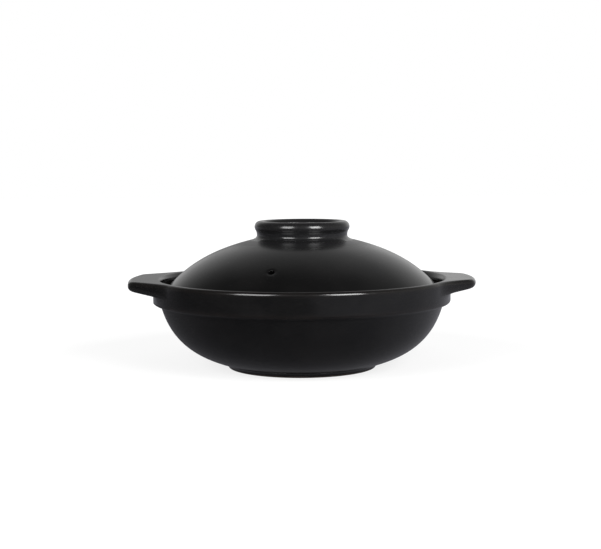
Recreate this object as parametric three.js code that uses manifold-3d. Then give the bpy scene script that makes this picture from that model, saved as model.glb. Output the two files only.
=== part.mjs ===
// A low clay pot with a domed lid, glazed black, for the stove and the table.
// Millimetres. The origin is the centre of the foot's underside, +Z is up, the front is -Y and the
// ears point along -X and +X.
import * as THREE from 'three';
import { mergeVertices } from 'three/addons/utils/BufferGeometryUtils.js';
import Module from 'manifold-3d';

// Rim collar: the upright band round the mouth, with the ledge that carries the lid
const COLLAR_DIAMETER = 220;
const POT_HEIGHT = 66.5;
const COLLAR_HEIGHT = 18.2;
const COLLAR_WALL = 5.6;
const COLLAR_LOWER_EDGE = 2.3;
const RIM_OUTER_EDGE = 2.5;
const RIM_INNER_EDGE = 2.8;
const GALLERY_DEPTH = 9.5;
const GALLERY_FILLET = 1.2;
const LEDGE_WIDTH = 10.4;
const LEDGE_EDGE = 1.2;

// Bowl: outer curve from the foot to the collar, wall and base
const COLLAR_OVERHANG = 5.2;
const BOWL_WALL = 6.5;
const BOWL_RISE_AT_FOOT = 15;
const BOWL_RISE_AT_COLLAR = 75;
const BOWL_BELLY_LOW = 0.44;
const BOWL_BELLY_HIGH = 0.37;

// Foot ring, and the shallow recess in the bowl's underside that it surrounds
const FOOT_DIAMETER = 110;
const FOOT_HEIGHT = 3.4;
const FOOT_FLARE = 1.8;
const FOOT_WIDTH = 8;
const FOOT_EDGE = 1;
const FOOT_INNER_SLOPE = 1.4;
const BASE_RECESS = 1.4;

// Ears: flat lugs level with the rim, stuck on the outside of the collar
const EAR_REACH = 18.4;
const EAR_THICKNESS = 10.3;
const EAR_TIP_THICKNESS = 7;
const EAR_EDGE_HEIGHT = 4;
const EAR_EDGE_WIDTH = 3.3;
const EAR_END_WIDTH = 36;
const EAR_END_BOW = 1.6;
const EAR_CORNER_DEPTH = 7.8;
const EAR_CORNER_WIDTH = 16.4;
const EAR_CORNER_PULL = 7.5;
const EAR_SIDE_PULL = 20;
const EAR_SIDE_ANGLE = 38.5;
const EAR_ROOT_PULL = 3;
const EAR_ROOT_ANGLE = 31;
const EAR_ROOT_INSIDE = 20;
const LUTING_GAP = 0.3;

// Lid dome: its edge stands on the ledge, clear of the collar all round
const LID_CLEARANCE = 4.9;
const LID_EDGE_HEIGHT = 3.2;
const LID_EDGE_ROUND = 1.4;
const LID_FOOT_WIDTH = 6.5;
const LID_WALL = 5.5;
const DOME_RISE = 34.2;
const DOME_FALL_AT_KNOB = 13.7;
const DOME_FALL_AT_EDGE = 49;
const DOME_SWELL = 0.347;
const STEAM_HOLE_DIAMETER = 5.2;
const STEAM_HOLE_CHAMFER = 0.5;
const STEAM_HOLE_FROM_AXIS = 80.2;
const STEAM_HOLE_TURN = 15.4;

// Lid knob: a hollow ring with a rolled lip, standing on the flat top of the dome
const KNOB_DIAMETER = 70;
const KNOB_HEIGHT = 14.1;
const KNOB_LIP_RADIUS = 4.4;
const KNOB_LIP_START = 35;
const KNOB_WALL = 6.5;
const KNOB_WAIST_INSET = 1.7;
const KNOB_WAIST_HEIGHT = 3.6;
const KNOB_FOOT_FLARE = 3;
const KNOB_FOOT_EDGE = 0.4;
const KNOB_FOOT_PULL = 2.4;
const KNOB_WAIST_PULL = 2;

// Facets: how far one may lie inside its true curve, and the steps round the axis
const FACET_SAG = 0.15;
const TURN_SAMPLES = 16;
const ROUND_STEPS = 60;
const KNOB_STEPS = 48;
const HOLE_STEPS = 14;
const EAR_EDGE_STEPS = 3;
const SAME_POINT = 1e-5;

// Radii and heights that several pieces share
const collarRadius = COLLAR_DIAMETER / 2;
const collarBottom = POT_HEIGHT - COLLAR_HEIGHT;
const galleryRadius = collarRadius - COLLAR_WALL;
const ledgeTop = POT_HEIGHT - GALLERY_DEPTH;
const mouthRadius = galleryRadius - LEDGE_WIDTH;
const footRadius = FOOT_DIAMETER / 2;
const lidRadius = galleryRadius - LID_CLEARANCE;
const domeBottom = ledgeTop + LID_EDGE_HEIGHT;
const domeTop = domeBottom + DOME_RISE;
const knobRadius = KNOB_DIAMETER / 2;
const knobFootRadius = knobRadius + KNOB_FOOT_FLARE;

const wasm = await Module();
wasm.setup();

// A unit step in the plane, at an angle in degrees
function heading(degrees) {
  const angle = THREE.MathUtils.degToRad(degrees);
  return new THREE.Vector2(Math.cos(angle), Math.sin(angle));
}

// A cubic curve between two points, each end pulled along its own heading
function pulledCurve(start, startHeading, startPull, end, endHeading, endPull) {
  const leave = start.clone().addScaledVector(startHeading, startPull);
  const arrive = end.clone().addScaledVector(endHeading, -endPull);
  return new THREE.CubicBezierCurve(start, leave, arrive, end);
}

// A copy of a curve whose first half of control points moves by one step and whose last by another
function shiftedCurve(curve, startShift, endShift) {
  return new THREE.CubicBezierCurve(
    curve.v0.clone().add(startShift),
    curve.v1.clone().add(startShift),
    curve.v2.clone().add(endShift),
    curve.v3.clone().add(endShift),
  );
}

// Follow a curve with a path, forwards or backwards
function follow(path, curve) {
  path.bezierCurveTo(curve.v1.x, curve.v1.y, curve.v2.x, curve.v2.y, curve.v3.x, curve.v3.y);
}

function followBack(path, curve) {
  path.bezierCurveTo(curve.v2.x, curve.v2.y, curve.v1.x, curve.v1.y, curve.v0.x, curve.v0.y);
}

// A rounding in a profile, from one angle to another in degrees
function rounding(path, x, y, radius, from, to) {
  const clockwise = to < from;
  const radians = THREE.MathUtils.degToRad;
  path.absarc(x, y, radius, radians(from), radians(to), clockwise);
}

// Points along a curve, as many as its length and its turning need to stay within the sag
function curvePoints(curve) {
  let turning = 0;
  for (let i = 0; i < TURN_SAMPLES; i += 1) {
    const before = curve.getTangent(i / TURN_SAMPLES);
    turning += before.angleTo(curve.getTangent((i + 1) / TURN_SAMPLES));
  }
  const steps = Math.ceil(Math.sqrt(curve.getLength() * turning / (8 * FACET_SAG)));
  return curve.getPoints(Math.max(steps, 1));
}

// Points of radius and height along a whole profile
function profilePoints(path) {
  const points = [path.curves[0].getPoint(0)];
  for (const curve of path.curves) {
    for (const point of curvePoints(curve)) {
      if (point.distanceTo(points.at(-1)) > SAME_POINT) points.push(point);
    }
  }
  return points;
}

// A profile turned round the pot's axis
function turned(path, steps = ROUND_STEPS) {
  return new THREE.LatheGeometry(profilePoints(path), steps).rotateX(Math.PI / 2);
}

// A closed solid that can be cut, and the geometry of a cut solid
function solidOf(geometry) {
  const bare = geometry.clone();
  bare.deleteAttribute('normal');
  bare.deleteAttribute('uv');
  const merged = mergeVertices(bare, SAME_POINT);
  const index = merged.index.array;
  const triangles = [];
  for (let i = 0; i < index.length; i += 3) {
    const [a, b, c] = index.slice(i, i + 3);
    if (a !== b && b !== c && c !== a) triangles.push(a, b, c);
  }
  return new wasm.Manifold(new wasm.Mesh({
    numProp: 3,
    vertProperties: new Float32Array(merged.attributes.position.array),
    triVerts: new Uint32Array(triangles),
  }));
}

function geometryOf(solid) {
  const mesh = solid.getMesh();
  const geometry = new THREE.BufferGeometry();
  geometry.setAttribute('position', new THREE.BufferAttribute(mesh.vertProperties, mesh.numProp));
  geometry.setIndex(new THREE.BufferAttribute(mesh.triVerts, 1));
  geometry.computeVertexNormals();
  return geometry;
}

// Bowl outer curve: it leaves the foot low and wide and stands nearly upright under the collar
function bowlCurve() {
  const start = new THREE.Vector2(footRadius + FOOT_FLARE, FOOT_HEIGHT);
  const end = new THREE.Vector2(collarRadius - COLLAR_OVERHANG, collarBottom);
  const chord = start.distanceTo(end);
  return pulledCurve(
    start, heading(BOWL_RISE_AT_FOOT), BOWL_BELLY_LOW * chord,
    end, heading(BOWL_RISE_AT_COLLAR), BOWL_BELLY_HIGH * chord,
  );
}

function bowlGeometry() {
  const outer = bowlCurve();
  const intoBase = heading(BOWL_RISE_AT_FOOT + 90).multiplyScalar(BOWL_WALL);
  const intoMouth = new THREE.Vector2(mouthRadius - outer.v3.x, 0);
  const inner = shiftedCurve(outer, intoBase, intoMouth);
  const recessTop = FOOT_HEIGHT + BASE_RECESS;
  const recessRadius = footRadius - FOOT_WIDTH;
  const path = new THREE.Path();
  path.moveTo(0, recessTop);
  path.lineTo(recessRadius - BASE_RECESS, recessTop);
  path.lineTo(recessRadius, FOOT_HEIGHT);
  path.lineTo(outer.v0.x, outer.v0.y);
  follow(path, outer);
  path.lineTo(inner.v3.x, inner.v3.y);
  followBack(path, inner);
  path.lineTo(0, inner.v0.y);
  return turned(path);
}

function collarGeometry() {
  const lower = COLLAR_LOWER_EDGE;
  const path = new THREE.Path();
  path.moveTo(mouthRadius, collarBottom);
  path.lineTo(collarRadius - lower, collarBottom);
  rounding(path, collarRadius - lower, collarBottom + lower, lower, -90, 0);
  rounding(path, collarRadius - RIM_OUTER_EDGE, POT_HEIGHT - RIM_OUTER_EDGE, RIM_OUTER_EDGE, 0, 90);
  rounding(path, galleryRadius + RIM_INNER_EDGE, POT_HEIGHT - RIM_INNER_EDGE, RIM_INNER_EDGE, 90, 180);
  rounding(path, galleryRadius - GALLERY_FILLET, ledgeTop + GALLERY_FILLET, GALLERY_FILLET, 0, -90);
  rounding(path, mouthRadius + LEDGE_EDGE, ledgeTop - LEDGE_EDGE, LEDGE_EDGE, 90, 180);
  path.lineTo(mouthRadius, collarBottom);
  return turned(path);
}

function footGeometry() {
  const inner = footRadius - FOOT_WIDTH;
  const path = new THREE.Path();
  path.moveTo(inner, FOOT_HEIGHT);
  path.lineTo(inner + FOOT_INNER_SLOPE, 0);
  path.lineTo(footRadius - FOOT_EDGE, 0);
  rounding(path, footRadius - FOOT_EDGE, FOOT_EDGE, FOOT_EDGE, -90, 0);
  path.lineTo(footRadius + FOOT_FLARE, FOOT_HEIGHT);
  path.lineTo(inner, FOOT_HEIGHT);
  return turned(path);
}

// The space that the collar fills, grown by the luting gap: an ear is cut back to it
function collarEnvelope() {
  const centre = collarRadius - RIM_OUTER_EDGE;
  const path = new THREE.Path();
  path.moveTo(0, collarBottom);
  path.lineTo(collarRadius + LUTING_GAP, collarBottom);
  rounding(path, centre, POT_HEIGHT - RIM_OUTER_EDGE, RIM_OUTER_EDGE + LUTING_GAP, 0, 90);
  path.lineTo(0, POT_HEIGHT + LUTING_GAP);
  return turned(path);
}

// Plan of an ear along +X: hollow roots on the collar, slanted sides, round corners, blunt bowed end
function earOutline() {
  const tip = collarRadius + EAR_REACH;
  const root = heading(EAR_ROOT_ANGLE).multiplyScalar(collarRadius);
  const rootHeading = heading(EAR_ROOT_ANGLE - 90);
  const corner = new THREE.Vector2(tip - EAR_CORNER_DEPTH, EAR_END_WIDTH / 2 + EAR_CORNER_WIDTH);
  const cornerHeading = heading(-EAR_SIDE_ANGLE);
  const end = new THREE.Vector2(tip - EAR_END_BOW, EAR_END_WIDTH / 2);
  const bow = new THREE.Vector2(tip + EAR_END_BOW, 0);
  const endHeading = bow.clone().sub(end).normalize();
  const side = pulledCurve(root, rootHeading, EAR_ROOT_PULL, corner, cornerHeading, EAR_SIDE_PULL);
  const turn = pulledCurve(corner, cornerHeading, EAR_CORNER_PULL, end, endHeading, EAR_CORNER_PULL);
  const blunt = new THREE.QuadraticBezierCurve(end, bow, new THREE.Vector2(end.x, -end.y));
  const half = [...curvePoints(side), ...curvePoints(turn).slice(1)];
  const other = half.map((point) => new THREE.Vector2(point.x, -point.y)).reverse();
  const inside = root.x - EAR_ROOT_INSIDE;
  return new THREE.Shape([
    new THREE.Vector2(inside, root.y),
    ...half,
    ...curvePoints(blunt).slice(1, -1),
    ...other,
    new THREE.Vector2(inside, -root.y),
  ]);
}

// The ear's underside rises towards its tip, while its top stays level with the rim
function thinTowardsTip(slab) {
  const points = slab.attributes.position;
  for (let i = 0; i < points.count; i += 1) {
    const out = Math.max(points.getX(i) - collarRadius, 0) / EAR_REACH;
    const thickness = THREE.MathUtils.lerp(EAR_THICKNESS, EAR_TIP_THICKNESS, out);
    const below = POT_HEIGHT - points.getZ(i);
    points.setZ(i, POT_HEIGHT - below * thickness / EAR_THICKNESS);
  }
}

function earGeometry(turn) {
  const slab = new THREE.ExtrudeGeometry(earOutline(), {
    depth: EAR_THICKNESS - 2 * EAR_EDGE_HEIGHT,
    bevelThickness: EAR_EDGE_HEIGHT,
    bevelSize: EAR_EDGE_WIDTH,
    bevelOffset: -EAR_EDGE_WIDTH,
    bevelSegments: EAR_EDGE_STEPS,
  });
  slab.translate(0, 0, POT_HEIGHT - EAR_THICKNESS + EAR_EDGE_HEIGHT);
  thinTowardsTip(slab);
  const ear = geometryOf(solidOf(slab).subtract(solidOf(collarEnvelope())));
  return ear.rotateZ(THREE.MathUtils.degToRad(turn));
}

// Dome outer curve, from the knob's foot out and down to the lid's edge
function domeCurve() {
  const start = new THREE.Vector2(knobFootRadius, domeTop);
  const end = new THREE.Vector2(lidRadius, domeBottom);
  const pull = DOME_SWELL * start.distanceTo(end);
  return pulledCurve(start, heading(-DOME_FALL_AT_KNOB), pull, end, heading(-DOME_FALL_AT_EDGE), pull);
}

// The place along a curve that lies at a given radius
function placeAtRadius(curve, radius) {
  let low = 0;
  let high = 1;
  while (high - low > SAME_POINT) {
    const middle = (low + high) / 2;
    if (curve.getPoint(middle).x < radius) low = middle;
    else high = middle;
  }
  return low;
}

// The steam hole: a straight bore square to the dome, with a chamfered mouth
function steamHole(dome) {
  const place = placeAtRadius(dome, STEAM_HOLE_FROM_AXIS);
  const mouth = dome.getPoint(place);
  const slope = dome.getTangent(place);
  const radius = STEAM_HOLE_DIAMETER / 2;
  const wide = radius + STEAM_HOLE_CHAMFER;
  const length = 2 * LID_WALL;
  const path = new THREE.Path();
  path.moveTo(0, -length);
  path.lineTo(radius, -length);
  path.lineTo(radius, -STEAM_HOLE_CHAMFER);
  path.lineTo(wide, 0);
  path.lineTo(wide, length);
  path.lineTo(0, length);
  const bore = turned(path, HOLE_STEPS);
  bore.rotateY(Math.atan2(-slope.y, slope.x));
  bore.translate(mouth.x, 0, mouth.y);
  return bore.rotateZ(THREE.MathUtils.degToRad(-90 - STEAM_HOLE_TURN));
}

function domeGeometry() {
  const outer = domeCurve();
  const intoTop = new THREE.Vector2(0, -LID_WALL);
  const intoFoot = new THREE.Vector2(-LID_FOOT_WIDTH, -LID_EDGE_HEIGHT);
  const inner = shiftedCurve(outer, intoTop, intoFoot);
  const path = new THREE.Path();
  path.moveTo(0, inner.v0.y);
  path.lineTo(inner.v0.x, inner.v0.y);
  follow(path, inner);
  rounding(path, lidRadius - LID_EDGE_ROUND, ledgeTop + LID_EDGE_ROUND, LID_EDGE_ROUND, -90, 0);
  path.lineTo(outer.v3.x, outer.v3.y);
  followBack(path, outer);
  path.lineTo(0, domeTop);
  return geometryOf(solidOf(turned(path)).subtract(solidOf(steamHole(outer))));
}

// Knob ring: a flared foot, a slight waist, a rolled lip and a straight bore inside
function knobGeometry() {
  const lipCentre = new THREE.Vector2(knobRadius - KNOB_LIP_RADIUS, domeTop + KNOB_HEIGHT - KNOB_LIP_RADIUS);
  const waist = new THREE.Vector2(knobRadius - KNOB_WAIST_INSET, domeTop + KNOB_WAIST_HEIGHT);
  const lipStart = heading(-KNOB_LIP_START).multiplyScalar(KNOB_LIP_RADIUS).add(lipCentre);
  const bore = waist.x - KNOB_WALL;
  const reach = (lipStart.y - waist.y) / 3;
  const toLip = pulledCurve(waist, heading(90), reach, lipStart, heading(90 - KNOB_LIP_START), reach);
  const path = new THREE.Path();
  path.moveTo(bore, domeTop);
  path.lineTo(knobFootRadius, domeTop);
  path.lineTo(knobFootRadius, domeTop + KNOB_FOOT_EDGE);
  path.bezierCurveTo(
    knobFootRadius - KNOB_FOOT_PULL, domeTop + KNOB_FOOT_EDGE,
    waist.x, waist.y - KNOB_WAIST_PULL,
    waist.x, waist.y,
  );
  follow(path, toLip);
  rounding(path, lipCentre.x, lipCentre.y, KNOB_LIP_RADIUS, -KNOB_LIP_START, 180);
  path.lineTo(bore, domeTop);
  return turned(path, KNOB_STEPS);
}

function piece(name, geometry, colour, roughness) {
  const material = new THREE.MeshStandardMaterial({ color: colour, roughness, metalness: 0 });
  const mesh = new THREE.Mesh(geometry, material);
  mesh.name = name;
  return mesh;
}

const GLAZE = 0x131314;
const GLAZE_ROUGHNESS = 0.3;
const CLAY = 0x2b211e;
const CLAY_ROUGHNESS = 0.85;

const pot = new THREE.Group();
pot.add(piece('bowl', bowlGeometry(), GLAZE, GLAZE_ROUGHNESS));
pot.add(piece('rim_collar', collarGeometry(), GLAZE, GLAZE_ROUGHNESS));
pot.add(piece('foot_ring', footGeometry(), CLAY, CLAY_ROUGHNESS));
pot.add(piece('right_ear', earGeometry(0), GLAZE, GLAZE_ROUGHNESS));
pot.add(piece('left_ear', earGeometry(180), GLAZE, GLAZE_ROUGHNESS));

const lid = new THREE.Group();
lid.add(piece('lid_dome', domeGeometry(), GLAZE, GLAZE_ROUGHNESS));
lid.add(piece('lid_knob', knobGeometry(), GLAZE, GLAZE_ROUGHNESS));

const clayPot = new THREE.Group();
clayPot.add(pot, lid);

export default clayPot;
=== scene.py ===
# %% [markdown]
# # A black clay pot with a domed lid
# This is a low cooking pot of fired clay under a satin black glaze: a round-bottomed bowl on a foot ring,
# an upright collar with two flat ears, and a domed lid whose knob is a hollow ring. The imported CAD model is
# the frame: it says how large each piece is, where it stands and what moves. The lesson dresses that frame.
# Every piece of clay is built again as a fine mesh with soft edges, and gets a glaze made of shader nodes.

# %% Load the frame
import math

import bmesh
import bpy
import numpy as np
from mathutils import Matrix, Vector


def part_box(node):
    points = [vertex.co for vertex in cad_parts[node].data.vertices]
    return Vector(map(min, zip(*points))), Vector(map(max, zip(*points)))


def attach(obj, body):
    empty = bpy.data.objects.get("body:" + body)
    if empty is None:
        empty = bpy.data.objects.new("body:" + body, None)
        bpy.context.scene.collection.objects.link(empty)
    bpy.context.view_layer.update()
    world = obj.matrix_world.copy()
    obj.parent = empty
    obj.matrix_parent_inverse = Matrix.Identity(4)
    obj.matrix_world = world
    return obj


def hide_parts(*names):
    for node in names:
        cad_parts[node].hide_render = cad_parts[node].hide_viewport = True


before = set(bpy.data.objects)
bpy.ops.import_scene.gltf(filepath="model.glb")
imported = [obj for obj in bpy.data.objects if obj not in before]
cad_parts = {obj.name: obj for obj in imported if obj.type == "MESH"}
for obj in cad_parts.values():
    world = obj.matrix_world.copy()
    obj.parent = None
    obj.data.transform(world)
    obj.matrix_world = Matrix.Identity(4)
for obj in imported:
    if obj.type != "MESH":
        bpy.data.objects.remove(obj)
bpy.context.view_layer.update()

MM = 0.001

# %% [markdown]
# ## Sizes
# A piece could be measured by hand, but the frame already holds its place, so radii and heights are read
# from the CAD nodes. All lengths below are in millimetres from the pot's axis and from the table, which
# keeps the numbers readable, and they become metres only when a mesh is made. A hair is taken off each
# radius, so that rounding in the numbers can't carry a mesh past the frame's box.

# %% Read radii and heights
HAIR = 0.01


def span(node):
    """Radius along +X less a hair, lowest and highest point of a CAD node, in millimetres."""
    low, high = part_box(node)
    return high.x / MM - HAIR, low.z / MM, high.z / MM


collar_radius, collar_bottom, rim_top = span("rim_collar")
bowl_radius, _, _ = span("bowl")
foot_radius, _, foot_top = span("foot_ring")
ear_tip, _, _ = span("right_ear")
lid_radius, ledge_top, dome_top = span("lid_dome")
knob_foot_radius, _, knob_top = span("lid_knob")
print("collar", collar_radius, "ear tip", ear_tip, "rim", rim_top, "knob top", round(knob_top, 2))

# %% [markdown]
# ## Drawing a section
# Nearly every piece of a pot is turned: a flat section spun round the axis, as clay is on a wheel. A
# section is a chain of straight runs, roundings and pulled curves. A pulled curve is a cubic Bezier whose
# ends leave and arrive at given headings, which is how a potter's rib leaves a wall: no kinks, only slow
# bends.

# %% Runs of a section
SAME_POINT = 1e-6


def heading(degrees):
    """Unit step at an angle, 0 pointing away from the axis and 90 pointing up."""
    angle = math.radians(degrees)
    return np.array([math.cos(angle), math.sin(angle)])


def straight(start, end, steps=1):
    """Points along a straight line."""
    share = np.linspace(0, 1, steps + 1)[:, None]
    return np.array(start) * (1 - share) + np.array(end) * share


def quarter(centre, wide, high, start, end, steps=8):
    """Arc of an ellipse round a centre, from one angle to another in degrees."""
    angles = np.linspace(start, end, steps + 1)
    return np.array([np.array(centre) + heading(a) * (wide, high) for a in angles])


def rounding(centre, radius, start, end, steps=8):
    """Arc of a circle round a centre."""
    return quarter(centre, radius, radius, start, end, steps)


def section(*runs):
    """One chain of points from runs that meet end to start."""
    chain = [runs[0][0]]
    for run in runs:
        chain.extend(p for p in run if np.hypot(*(p - chain[-1])) > SAME_POINT)
    return np.array(chain)


print("a quarter rounding of 2 mm:", np.round(rounding((0, 0), 2, 0, 90, 2), 2).tolist())

# %% Pulled curves
def pulled_controls(start, leave, leave_pull, end, arrive, arrive_pull):
    """Control points of a curve that leaves and arrives at headings in degrees, each with its pull."""
    start, end = np.array(start, float), np.array(end, float)
    return np.array([start, start + heading(leave) * leave_pull, end - heading(arrive) * arrive_pull, end])


def curve_point(controls, t):
    """Point of a curve at a share t of the way from its start to its end."""
    a, b, c, d = controls
    s = 1 - t
    return a * s**3 + 3 * b * s * s * t + 3 * c * s * t * t + d * t**3


def curve_run(controls, steps):
    return np.array([curve_point(controls, t) for t in np.linspace(0, 1, steps + 1)])


print("half way round a pulled corner:", curve_point(pulled_controls((0, 0), 0, 1, (2, 2), 90, 1), 0.5))

# %% [markdown]
# ## From points to clay
# Glossy glaze shows every fault of a mesh in its reflections. Two things prevent that: faces are welded
# into one closed skin, and each point's normal leans on its large faces more than on its small ones, so
# that a flat stays flat up to the rounding beside it. The mesh also carries marks for the glaze to read.
# Every piece has one for how sharply it bends, because edges shed glaze and hollows gather it. Some have
# more: where the potter wiped the clay bare before firing, where a paler colour is painted on as a painted
# sheen, and where the glaze came out duller.

# %% Read the bends of a mesh
QUAD = 4
TINY = 1e-12
SHARP_BEND = 0.45
SOFT_BEND = 0.1


def held(share):
    """A share kept between 0 and 1."""
    return np.clip(share, 0, 1)


def steady_normals(mesh):
    """Normals of the points, weighted by the area of the faces round them; hidden end caps don't count."""
    total = np.zeros((len(mesh.vertices), 3))
    for face in mesh.polygons:
        if len(face.vertices) <= QUAD:
            total[list(face.vertices)] += np.array(face.normal) * face.area
    return total / np.maximum(np.linalg.norm(total, axis=1, keepdims=True), TINY)


def bend_of_points(mesh, points, normals):
    """1 on sharp edges, -1 in tight hollows, 0 where the clay is nearly flat."""
    out = np.zeros(len(points))
    hollow = np.zeros(len(points))
    ends = np.array([edge.vertices[:] for edge in mesh.edges])
    for here, there in ((0, 1), (1, 0)):
        step = points[ends[:, there]] - points[ends[:, here]]
        bend = -2 * (normals[ends[:, here]] * step).sum(1) / (step * step).sum(1)
        np.maximum.at(out, ends[:, here], bend)
        np.maximum.at(hollow, ends[:, here], -bend)
    sharp = held((out - SOFT_BEND) / (SHARP_BEND - SOFT_BEND))
    pooled = held((hollow - SOFT_BEND) / (SHARP_BEND - SOFT_BEND))
    return sharp - pooled


print("an edge is sharp from a radius of", round(1 / SHARP_BEND, 1), "mm down")

# %% Build a clay mesh
CLOSE = 1e-4


def clay(name, points, faces, marks=None):
    """A piece from points in millimetres; each mark gives a share from 0 to 1 at a radius and height."""
    form = bmesh.new()
    corners = [form.verts.new(Vector(p)) for p in points]
    for face in faces:
        form.faces.new([corners[i] for i in face])
    bmesh.ops.remove_doubles(form, verts=form.verts, dist=CLOSE)
    bmesh.ops.recalc_face_normals(form, faces=form.faces)
    mesh = bpy.data.meshes.new(name)
    form.to_mesh(mesh)
    loose = sum(1 for edge in form.edges if len(edge.link_faces) != 2)
    form.free()
    mesh.shade_smooth()
    spots = np.array([v.co for v in mesh.vertices])
    normals = steady_normals(mesh)
    edge = mesh.attributes.new("edge", "FLOAT", "POINT")
    edge.data.foreach_set("value", bend_of_points(mesh, spots, normals))
    for label, share in (marks or {}).items():
        mark = mesh.attributes.new(label, "FLOAT", "POINT")
        mark.data.foreach_set("value", [share(math.hypot(p[0], p[1]), p[2]) for p in spots])
    mesh.transform(Matrix.Scale(MM, 4))
    mesh.normals_split_custom_set_from_vertices(normals)
    piece = bpy.data.objects.new(name, mesh)
    bpy.context.scene.collection.objects.link(piece)
    print(name, "faces", len(mesh.polygons), "open edges", loose)
    return piece


print("points within", CLOSE, "mm of each other are welded")

# %% Turn a section round the axis
TURN_STEPS = 192


def turned_grid(chain):
    """Points of a section turned round the axis, a row for each; a function gives it at each turn."""
    turns = np.linspace(0, 2 * math.pi, TURN_STEPS, endpoint=False)
    chains = [chain(a) if callable(chain) else chain for a in turns]
    return np.array([
        [(r * math.cos(a), r * math.sin(a), z) for (r, z), a in zip(row, turns)] for row in zip(*chains)
    ])


def grid_faces(rows, columns, ring):
    """Faces between neighbouring rows; ring also joins the last row to the first."""
    last = rows if ring else rows - 1
    for i in range(last):
        for j in range(columns):
            k = (j + 1) % columns
            n = (i + 1) % rows
            yield (i * columns + j, i * columns + k, n * columns + k, n * columns + j)


def turned(name, chain, ring, marks=None):
    grid = turned_grid(chain)
    faces = list(grid_faces(len(grid), TURN_STEPS, ring))
    return clay(name, grid.reshape(-1, 3), faces, marks)


print("one turn has", TURN_STEPS, "steps")

# %% [markdown]
# ## The bowl
# The bowl leaves the foot low and wide and stands nearly upright under the collar. It could be a squashed
# sphere, but the real curve is fuller near the table, so it is one pulled curve outside and one inside,
# with the wall between them. The clay is about 5 mm thick below and grows thicker towards the collar.

# %% Shape the bowl
BOWL_RISE_AT_FOOT = 15
BOWL_RISE_AT_COLLAR = 75
BOWL_PULLS = (28.9, 24.3)
INSIDE_RISE = 84
INSIDE_PULLS = (28.9, 23)
MOUTH_RADIUS = 94
BASE_RECESS = 1.4
RECESS_RADIUS = 47
RECESS_LIP = 1
INSIDE_FLOOR = 9.8
INSIDE_FLOOR_RADIUS = 52
FLOOR_DISH = 0.4
BOWL_INTO_COLLAR = 1.0
OUTER_TUCK = 1.5
INNER_TUCK = 0.6

bowl_outer = pulled_controls(
    (foot_radius, foot_top), BOWL_RISE_AT_FOOT, BOWL_PULLS[0],
    (bowl_radius, collar_bottom), BOWL_RISE_AT_COLLAR, BOWL_PULLS[1],
)
bowl_inner = pulled_controls(
    (MOUTH_RADIUS, collar_bottom), INSIDE_RISE - 180, INSIDE_PULLS[1],
    (INSIDE_FLOOR_RADIUS, INSIDE_FLOOR), 180, INSIDE_PULLS[0],
)
recess_top = foot_top + BASE_RECESS
recess_edge = (RECESS_RADIUS - BASE_RECESS, recess_top)
recess_lip = (RECESS_RADIUS + RECESS_LIP, foot_top)
outer_tuck = (bowl_radius - OUTER_TUCK, collar_bottom + BOWL_INTO_COLLAR)
inner_tuck = (MOUTH_RADIUS + INNER_TUCK, collar_bottom + BOWL_INTO_COLLAR)
bowl_chain = section(
    straight((0, recess_top), recess_edge, 8),
    straight(recess_edge, recess_lip, 2),
    straight(recess_lip, (foot_radius, foot_top), 2),
    curve_run(bowl_outer, 56),
    straight((bowl_radius, collar_bottom), outer_tuck, 2),
    straight(outer_tuck, inner_tuck, 2),
    straight(inner_tuck, (MOUTH_RADIUS, collar_bottom), 1),
    curve_run(bowl_inner, 48),
    straight((INSIDE_FLOOR_RADIUS, INSIDE_FLOOR), (0, INSIDE_FLOOR - FLOOR_DISH), 10),
)
bowl_shell = turned("bowl_shell", bowl_chain, ring=False)

# %% [markdown]
# ## The foot ring
# The pot stands on a low ring that leans outwards as it rises. Where it meets the bowl, glaze gathers in a
# small hollow. The ring could be a plain hoop, but then that corner would read as a cut; here the outer
# side runs on into a short fillet that dies out on the bowl. Its underside is wiped bare before firing, or
# the glaze would stick it to the kiln shelf.

# %% Shape the foot
FOOT_LEAN = 1.8
FOOT_EDGE = 1.0
FOOT_WIDTH = 8
FOOT_INNER_SLOPE = 1.4
FOOT_INNER_EDGE = 0.6
FOOT_INTO_BOWL = 1.2
FOOT_FILLET = 2.2
FILLET_PULL = 0.6
GLAZE_LINE_HEIGHT = 2.2

foot_corner = np.array([foot_radius, foot_top])
foot_low = foot_radius - FOOT_LEAN
lean = math.degrees(math.atan2(foot_top - FOOT_EDGE, FOOT_LEAN))
edge_centre = (foot_low - FOOT_EDGE, FOOT_EDGE)
side_end = foot_corner - heading(lean) * FOOT_FILLET
bowl_touch = foot_corner + heading(BOWL_RISE_AT_FOOT) * FOOT_FILLET
fillet_reach = FILLET_PULL * FOOT_FILLET
foot_fillet = pulled_controls(side_end, lean, fillet_reach, bowl_touch, BOWL_RISE_AT_FOOT, fillet_reach)
in_bowl = foot_top + FOOT_INTO_BOWL
inner_top = foot_low - FOOT_WIDTH
inner_low = inner_top + FOOT_INNER_SLOPE
foot_chain = section(
    rounding(edge_centre, FOOT_EDGE, -90, lean - 90, 8),
    straight(edge_centre + FOOT_EDGE * heading(lean - 90), side_end, 3),
    curve_run(foot_fillet, 8),
    straight(bowl_touch, (foot_radius, in_bowl), 2),
    straight((foot_radius, in_bowl), (inner_top, in_bowl), 4),
    straight((inner_top, in_bowl), (inner_top, foot_top), 1),
    straight((inner_top, foot_top), (inner_low, FOOT_INNER_EDGE), 3),
    straight((inner_low, FOOT_INNER_EDGE), (inner_low + FOOT_INNER_EDGE, 0), 2),
    straight((inner_low + FOOT_INNER_EDGE, 0), (foot_low - FOOT_EDGE, 0), 4)[:-1],
)


def bare_foot(radius, height):
    return held(1 - height / GLAZE_LINE_HEIGHT)


foot_ring_clay = turned("foot_ring_clay", foot_chain, ring=True, marks={"bare": bare_foot})

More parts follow.
